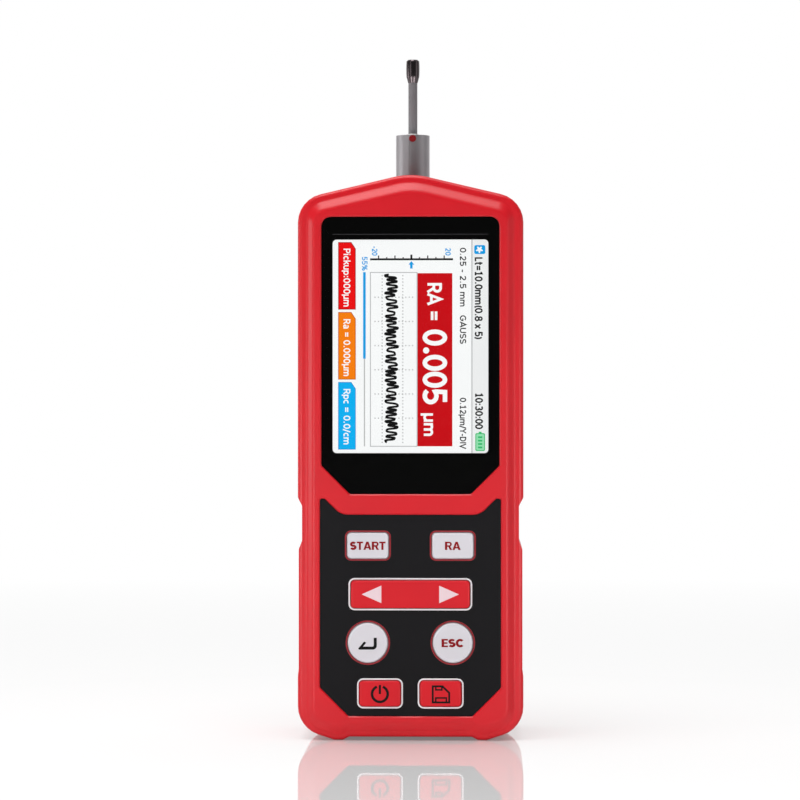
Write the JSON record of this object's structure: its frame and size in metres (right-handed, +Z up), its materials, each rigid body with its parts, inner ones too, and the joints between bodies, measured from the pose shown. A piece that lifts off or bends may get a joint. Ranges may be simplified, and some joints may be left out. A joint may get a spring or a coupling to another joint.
{
  "type": "surface roughness tester",
  "caption": "Hand-held surface roughness tester: a moulded case with display window and keypad, and a motor drive that draws a stylus pickup in through the roof.",
  "frame": {"origin": "middle of the footprint, on the surface that the feet stand on", "axes": "+X to the right of someone who faces the display, +Y from the display to the back, +Z up along the pickup"},
  "size_m": [0.0634, 0.046, 0.1941],
  "materials": {
    "case_red": "satin",
    "key_red": "satin",
    "key_white": "satin",
    "sheet_black": "satin",
    "mask_black": "gloss",
    "window_clear": "gloss",
    "screen": "satin",
    "plain_black": "matte",
    "plain_white": "matte",
    "dot_red": "gloss",
    "board_green": "satin",
    "battery_blue": "satin",
    "steel": "satin",
    "black_steel": "satin",
    "pickup_metal": "satin",
    "bright_steel": "polished",
    "alloy": "satin",
    "brass": "satin",
    "copper": "satin",
    "diamond": "gloss"
  },
  "bodies": {
    "housing": {"front_cover": "case_red", "rear_cover": "case_red", "case_screws": "black_steel", "entry_bush": "plain_black", "stand_insert": "brass", "display_window": "window_clear", "window_mask": "mask_black", "lcd_panel": "screen", "lcd_light_frame": "steel", "keypad_sheet": "sheet_black", "rocker_pin": "steel", "switch_domes": "steel", "keypad_board": "board_green", "board_screws": "steel", "main_board": "board_green", "board_chips": "plain_black", "board_connector": "plain_black", "battery_pack": "battery_blue", "charging_socket": "steel", "drive_frame": "alloy", "frame_screws": "steel", "guide_rods": "bright_steel", "screw_bushes": "brass", "gearbox": "brass", "motor": "steel"},
    "slide_unit": {"carriage": "alloy", "slide_bushes": "brass", "drive_nut": "brass", "pickup_socket": "plain_black", "pickup_sleeve": "pickup_metal", "sheath_tube": "pickup_metal", "skid_nose": "bright_steel", "root_ring": "plain_white", "alignment_dot": "dot_red", "pivot_block": "brass", "pivot_pin": "steel", "coil_carrier": "plain_white", "sensor_coils": "copper", "pickup_plug": "plain_black", "contact_pins": "brass"},
    "screw": {"lead_screw": "steel", "motor_shaft": "steel", "shaft_coupling": "alloy"},
    "stylus": {"stylus_arm": "steel", "stylus_tip": "diamond", "armature": "steel"},
    "start": {"start_key": "key_white"},
    "parameter": {"parameter_key": "key_white"},
    "rocker": {"rocker_key": "key_red"},
    "enter": {"enter_key": "key_white"},
    "escape": {"escape_key": "key_white"},
    "power": {"power_key": "key_red"},
    "save": {"save_key": "key_red"}
  },
  "joints": [
    {"name": "pickup_traverse", "type": "slide", "parent": "housing", "child": "slide_unit", "axis": [0, 0, 1], "range_m": [-0.0175, 0]},
    {"name": "screw_spin", "type": "hinge", "parent": "housing", "child": "screw", "pos_m": [0, 0, 0.11], "axis": [0, 0, 1], "range_deg": [-3151, 1]},
    {"name": "stylus_swing", "type": "hinge", "parent": "slide_unit", "child": "stylus", "pos_m": [0, 0.01, 0.1628], "axis": [1, 0, 0], "range_deg": [-1, 1], "stiffness_Nm_per_rad": 0.006},
    {"name": "start_press", "type": "slide", "parent": "housing", "child": "start", "axis": [0, 1, 0], "range_m": [0, 0.0005], "stiffness_N_per_m": 1500},
    {"name": "parameter_press", "type": "slide", "parent": "housing", "child": "parameter", "axis": [0, 1, 0], "range_m": [0, 0.0005], "stiffness_N_per_m": 1500},
    {"name": "enter_press", "type": "slide", "parent": "housing", "child": "enter", "axis": [0, 1, 0], "range_m": [0, 0.0005], "stiffness_N_per_m": 1500},
    {"name": "escape_press", "type": "slide", "parent": "housing", "child": "escape", "axis": [0, 1, 0], "range_m": [0, 0.0005], "stiffness_N_per_m": 1500},
    {"name": "power_press", "type": "slide", "parent": "housing", "child": "power", "axis": [0, 1, 0], "range_m": [0, 0.0005], "stiffness_N_per_m": 1500},
    {"name": "save_press", "type": "slide", "parent": "housing", "child": "save", "axis": [0, 1, 0], "range_m": [0, 0.0005], "stiffness_N_per_m": 1500},
    {"name": "rocker_rock", "type": "hinge", "parent": "housing", "child": "rocker", "pos_m": [0, -0.0193, 0.0411], "axis": [0, 0, 1], "range_deg": [-2, 2], "stiffness_Nm_per_rad": 0.5}
  ],
  "couplings": [
    {"joint": "screw_spin", "follows": "pickup_traverse", "rad_per_m": 3141.6}
  ]
}
